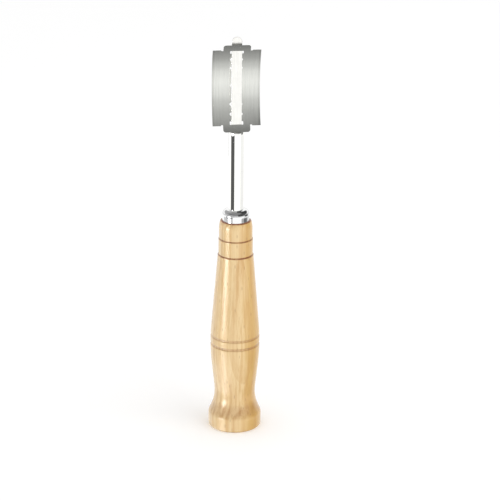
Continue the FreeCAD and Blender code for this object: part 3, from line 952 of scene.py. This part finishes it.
def sheet_rows(outlines, step, columns):
    """Cuts a flat shape into rows of faces between level lines; gives points and faces."""
    outlines = [[(round(p.x, ACROSS_DIGITS), round(p.y, ALONG_DIGITS)) for p in outline]
                for outline in outlines]
    corners = {y for outline in outlines for _, y in outline}
    low, high = min(corners), max(corners)
    rows = math.ceil((high - low) / step)
    lines = [round(low + (high - low) * i / rows, ALONG_DIGITS) for i in range(rows + 1)]
    levels = sorted(corners | {
        line for line in lines if min(abs(line - y) for y in corners) > step / 10})
    edges = [(a, b) if a[1] < b[1] else (b, a)
             for outline in outlines for a, b in zip(outline, outline[1:] + outline[:1])
             if a[1] != b[1]]

    def at(edge, level):
        """Where an edge stands at a level."""
        (x, low_y), (other_x, high_y) = edge
        part = (level - low_y) / (high_y - low_y)
        return round(x + (other_x - x) * part, ACROSS_DIGITS)

    spans, stops = [], {level: set() for level in levels}
    for bottom, top in zip(levels, levels[1:]):
        middle = (bottom + top) / 2
        crossing = sorted((e for e in edges if e[0][1] < middle < e[1][1]),
                          key=lambda e: at(e, middle))
        for left, right in zip(crossing[::2], crossing[1::2]):
            inside = [c for c in columns if at(left, middle) < c < at(right, middle)]
            sides = [left] + inside + [right]
            for first, second in zip(sides, sides[1:]):
                ends = []
                for level in (bottom, top):
                    pair = [e if isinstance(e, float) else at(e, level) for e in (first, second)]
                    stops[level].update(pair)
                    ends.append(pair)
                spans.append((bottom, top, ends))
    points, faces = {}, []

    def number(x, level):
        """The number of the point at a place."""
        return points.setdefault((x, level), len(points))

    for bottom, top, ((low_left, low_right), (high_left, high_right)) in spans:
        under = [number(x, bottom) for x in sorted(stops[bottom]) if low_left <= x <= low_right]
        over = [number(x, top) for x in sorted(stops[top]) if high_left <= x <= high_right]
        face = under + over[::-1]
        if len(face) > 2:
            faces.append(face)
    return list(points), faces


def blade_mesh(size):
    """The flat blade: two skins that taper to the honed edges, and the walls between them."""
    half = size.width / 2
    honed = half - size.bevel
    columns = [round(x, ACROSS_DIGITS) for x in (-honed, honed)]
    points, faces = sheet_rows([blade_outline(size), slot_outline(size)], size.step, columns)

    def thickness(x):
        """Half the steel's thickness at a distance from the middle."""
        worn = max(0.0, abs(x) - honed) / size.bevel
        return (size.thickness + (size.edge_thickness - size.thickness) * worn) / 2

    shape = bmesh.new()
    front = [shape.verts.new((x, -thickness(x), s)) for x, s in points]
    back = [shape.verts.new((x, thickness(x), s)) for x, s in points]
    used = {}
    for face in faces:
        shape.faces.new([front[i] for i in face])
        shape.faces.new([back[i] for i in reversed(face)])
        used.update(dict.fromkeys(zip(face, face[1:] + face[:1])))
    for a, b in used:
        if (b, a) not in used:
            shape.faces.new((front[b], front[a], back[a], back[b]))
    return end_mesh(shape, "blade")


# ---------------------------------------------------------------- operators

class LAME_OT_turn_handle(bpy.types.Operator):
    """Turn the wooden handle"""
    bl_idname = "lame.turn_handle"
    bl_label = "Turn Handle"

    def execute(self, context):
        sizes = context.scene.lame_handle
        outline = handle_outline(sizes, context.scene.lame_metal)
        piece = bake("turned_handle", outline.mesh("handle_outline"), turning_tree(),
                     Around=sizes.around,
                     Finish=lacquered_wood(sizes, context.scene.lame_finish))
        finish_piece(piece, "holder", "handle")
        return {"FINISHED"}


class LAME_OT_turn_collar(bpy.types.Operator):
    """Turn and plate the collar"""
    bl_idname = "lame.turn_collar"
    bl_label = "Turn Collar"

    def execute(self, context):
        sizes = context.scene.lame_metal
        finish = context.scene.lame_finish
        piece = bake("round_collar", collar_outline(sizes).mesh("collar_outline"),
                     turning_tree(), Around=sizes.around,
                     Finish=polished_metal("plated_collar", finish.plating,
                                           roughness=0.07, smudged=0.12, scratched=0.08))
        finish_piece(piece, "holder", "ferrule")
        return {"FINISHED"}


class LAME_OT_slot_bar(bpy.types.Operator):
    """Cut the bar and saw the slot in its end"""
    bl_idname = "lame.slot_bar"
    bl_label = "Slot Bar"

    def execute(self, context):
        piece = place_object("slotted_bar", bar_mesh(context.scene.lame_metal))
        piece.data.materials.append(
            polished_metal("polished_bar", context.scene.lame_finish.bar_steel,
                           roughness=0.035, smudged=0.06, scratched=0.04))
        finish_piece(piece, "holder", "shank")
        return {"FINISHED"}


class LAME_OT_cut_strip(bpy.types.Operator):
    """Cut the strip that holds the blade"""
    bl_idname = "lame.cut_strip"
    bl_label = "Cut Strip"

    def execute(self, context):
        piece = place_object("holding_strip", strip_mesh(context.scene.lame_metal))
        piece.data.materials.append(strip_steel(context.scene.lame_finish))
        finish_piece(piece, "holder", "blade_strip")
        return {"FINISHED"}


class LAME_OT_bow_blade(bpy.types.Operator):
    """Cut the blade flat and bow it over the strip"""
    bl_idname = "lame.bow_blade"
    bl_label = "Bow Blade"

    def execute(self, context):
        sizes = context.scene.lame_blade
        piece = bake("bowed_blade", blade_mesh(sizes), bowing_tree(),
                     Radius=sizes.bow_radius, Depth=sizes.bow_depth,
                     Height=sizes.bow_height,
                     Finish=blade_steel(sizes, context.scene.lame_finish))
        finish_piece(piece, "blade", "razor_blade")
        return {"FINISHED"}


class LAME_OT_set_studio(bpy.types.Operator):
    """Set out the floor, the lights and the camera"""
    bl_idname = "lame.set_studio"
    bl_label = "Set Studio"

    def execute(self, context):
        studio = context.scene.lame_studio
        lay_floor(context.scene)
        light_room(context.scene, studio)
        stand_camera(context.scene, studio)
        return {"FINISHED"}


# ---------------------------------------------------------------- the stage

# How far the floor runs each way, and the large light's place, width and aim, in metres.
FLOOR_REACH = 6.0
KEY_PLACE = (1.1, -0.9, 0.9)
KEY_WIDTH = 1.6
KEY_AIM = (0, 0, 0.08)
# The camera's width of film in millimetres, and how far it sees in metres.
FILM_WIDTH = 36.0
FAR_SIGHT = 50.0


def lay_floor(scene):
    """A wide pale floor that glows a little, and that bright metal doesn't mirror."""
    material, shader, place = new_material(
        "pale_floor", Roughness=0.9, Specular_IOR_Level=0.1,
        Emission_Color=WHITE, Emission_Strength=0.12)
    grain = put(material.node_tree, "ShaderNodeTexNoise",
                {"Vector": place, "Scale": 0.004, "Detail": 2.0})
    pale = scene.lame_finish.floor
    fill(shader, Base_Color=blend_colour(grain.outputs["Fac"], pale, darker(pale, 0.985)))
    mesh = bpy.data.meshes.new("floor")
    mesh.from_pydata([(x * FLOOR_REACH, y * FLOOR_REACH, 0)
                      for x, y in ((-1, -1), (1, -1), (1, 1), (-1, 1))], [], [(0, 1, 2, 3)])
    mesh.materials.append(material)
    floor = place_object("floor", mesh)
    floor.visible_glossy = False


def build_card(name):
    """A soft-edged card in the room, seen in one direction from the lame."""
    tree, given, result = new_group(
        name, "ShaderNodeTree",
        {"Turn": 0.0, "Rise": 0.0, "Card Turn": 0.0, "Card Rise": 0.0,
         "Half Width": 20.0, "Half Height": 20.0, "Softness": 5.0}, {"Mask": "Float"})
    masks = []
    for here, middle, half in (("Turn", "Card Turn", "Half Width"),
                               ("Rise", "Card Rise", "Half Height")):
        away = maths("ABSOLUTE", minus(given[here], given[middle]))
        masks.append(remap(away, plus(given[half], given["Softness"]),
                           minus(given[half], given["Softness"])))
    connect(result["Mask"], times(*masks))
    return tree


# Brightness of the white tent by how far up a mirroring surface looks, in degrees from level.
TENT = ((-88, 0.17), (-77, 0.27), (-71, 0.34), (-58, 0.48), (-46, 0.75), (-34, 1.04),
        (-22, 1.17), (-6, 1.02), (6, 0.75), (23, 0.56), (33, 0.46), (43, 0.31), (55, 0.15),
        (72, 0.28), (90, 0.3))
# Cards that the metal and the lacquer mirror: turn to the right of the front, rise, half
# width, half height and softness, all in degrees, and brightness.
CARDS = (
    ("back wall, left", -160, 46, 50, 18, 6, 0.42),
    ("back wall, right", 150, 46, 60, 18, 6, 0.05),
    ("back light, left", -150, 16, 33, 8, 3, 1.1),
    ("back light, right", 150, 16, 33, 8, 3, 1.1),
    ("front shade", -50, 7, 32, 5, 3, 0.12),
    ("left wall", -78, -43, 54, 12, 2, 2.4),
    ("low left grey", -102, -26, 24, 5, 2, 0.68),
    ("left light, low", -63, -29, 11, 6, 2, 5.0),
    ("left light, high", -63, -8, 11, 5, 2, 16.0),
    ("left cloth", -62, -17.5, 29, 5.5, 3, 0.1),
    ("right shade", 50, 40, 36, 24, 4, 0.08),
    ("right grey", 105, -25, 42, 9, 5, 0.88),
    ("right cloth", 90, 2, 18, 14, 3, 0.08),
    ("low right cloth", 88, -29, 22, 6.5, 2.5, 0.08),
    ("low right grey", 56, -29, 12, 6.5, 2.5, 0.45),
    ("thin left", -84, -4, 5, 10, 2, 0.4),
    ("low thin left", -40, -29, 5, 6.5, 2, 0.38),
)


def light_room(scene, studio):
    """A white room and a large light at the right. Only reflections show the tent and cards."""
    scene.view_settings.view_transform = "Standard"
    world = bpy.data.worlds.new("white_room")
    world.use_nodes = True
    scene.world = world
    tree = world.node_tree
    way = split(put(tree, "ShaderNodeTexCoord").outputs["Generated"])
    degrees = math.degrees(1)
    rise = times(maths("ARCSINE", way["Z"]), degrees)
    turn = times(maths("ARCTAN2", way["X"], times(way["Y"], -1.0)), degrees)
    ramp = put(tree, "ShaderNodeValToRGB", {0: remap(rise, -90, 90, smooth=False)})
    ramp.color_ramp.interpolation = "EASE"
    stops = ramp.color_ramp.elements
    stops.remove(stops[1])
    for number, (degree, level) in enumerate(TENT):
        position = (degree + 90) / 180
        stop = stops.new(position) if number else stops[0]
        stop.position = position
        stop.color = (level, level, level, 1.0)
    brightness = split(ramp.outputs["Color"])["X"]
    for _, card_turn, card_rise, width, height, softness, level in CARDS:
        mask = use(shared("Card", build_card), Turn=turn, Rise=rise, Card_Turn=card_turn,
                   Card_Rise=card_rise, Half_Width=width, Half_Height=height,
                   Softness=softness)["Mask"]
        brightness = plus(brightness, times(minus(level, brightness), mask))
    mirrored = put(tree, "ShaderNodeBackground",
                   {"Color": (1.0, 1.0, 0.985, 1.0), "Strength": brightness})
    room = tree.nodes["Background"]
    fill(room, Color=WHITE, Strength=studio.room)
    mixed = put(tree, "ShaderNodeMixShader",
                {0: put(tree, "ShaderNodeLightPath").outputs["Is Glossy Ray"],
                 1: room.outputs[0], 2: mirrored.outputs[0]})
    fill(tree.nodes["World Output"], Surface=mixed.outputs[0])

    data = bpy.data.lights.new("key_light", "AREA")
    data.shape = "RECTANGLE"
    data.size = data.size_y = KEY_WIDTH
    data.energy = studio.key_light
    light = place_object("key_light", data)
    light.location = KEY_PLACE
    light.rotation_euler = (Vector(KEY_AIM) - light.location).to_track_quat(
        "-Z", "Y").to_euler()
    light.visible_glossy = False


def stand_camera(scene, studio):
    """The camera, a little to the left and above, looking down at the lame."""
    data = bpy.data.cameras.new("camera")
    data.lens = studio.lens
    data.sensor_width = FILM_WIDTH
    data.shift_x = studio.shift
    data.clip_end = FAR_SIGHT
    camera = place_object("camera", data)
    aim = Vector((0, 0, studio.aim_height))
    level = math.cos(studio.elevation) * studio.distance
    camera.location = aim + Vector((
        -level * math.sin(studio.turn), -level * math.cos(studio.turn),
        math.sin(studio.elevation) * studio.distance))
    facing = (aim - camera.location).to_track_quat("-Z", "Y").to_matrix().to_4x4()
    camera.rotation_euler = (facing @ Matrix.Rotation(studio.lean, 4, "Z")).to_euler()
    scene.camera = camera


# ---------------------------------------------------------------- panel and registration

class LAME_PT_panel(bpy.types.Panel):
    """Lists the lame's pieces in the order they are made"""
    bl_label = "Bread Lame"
    bl_idname = "LAME_PT_panel"
    bl_space_type = "VIEW_3D"
    bl_region_type = "UI"
    bl_category = "Bread Lame"

    def draw(self, context):
        for operator in OPERATORS:
            self.layout.operator(operator.bl_idname)


GROUPS = {
    "lame_handle": LameHandle, "lame_metal": LameMetal, "lame_blade": LameBlade,
    "lame_finish": LameFinish, "lame_studio": LameStudio,
}
OPERATORS = (
    LAME_OT_turn_handle, LAME_OT_turn_collar, LAME_OT_slot_bar, LAME_OT_cut_strip,
    LAME_OT_bow_blade, LAME_OT_set_studio,
)


def register():
    """Names each property after its attribute, and registers every class."""
    for group in GROUPS.values():
        for name, value in group.__annotations__.items():
            value.keywords["name"] = name.replace("_", " ").capitalize()
        bpy.utils.register_class(group)
    for name, group in GROUPS.items():
        setattr(bpy.types.Scene, name, PointerProperty(type=group))
    for operator in OPERATORS:
        bpy.utils.register_class(operator)
    bpy.utils.register_class(LAME_PT_panel)


def unregister():
    """Takes every class away again, the last one first."""
    bpy.utils.unregister_class(LAME_PT_panel)
    for operator in reversed(OPERATORS):
        bpy.utils.unregister_class(operator)
    for name in GROUPS:
        delattr(bpy.types.Scene, name)
    for group in reversed(list(GROUPS.values())):
        bpy.utils.unregister_class(group)


def main():
    """Makes every piece and the stage."""
    register()
    bpy.ops.lame.turn_handle()
    bpy.ops.lame.turn_collar()
    bpy.ops.lame.slot_bar()
    bpy.ops.lame.cut_strip()
    bpy.ops.lame.bow_blade()
    bpy.ops.lame.set_studio()


if __name__ == "__main__":
    main()
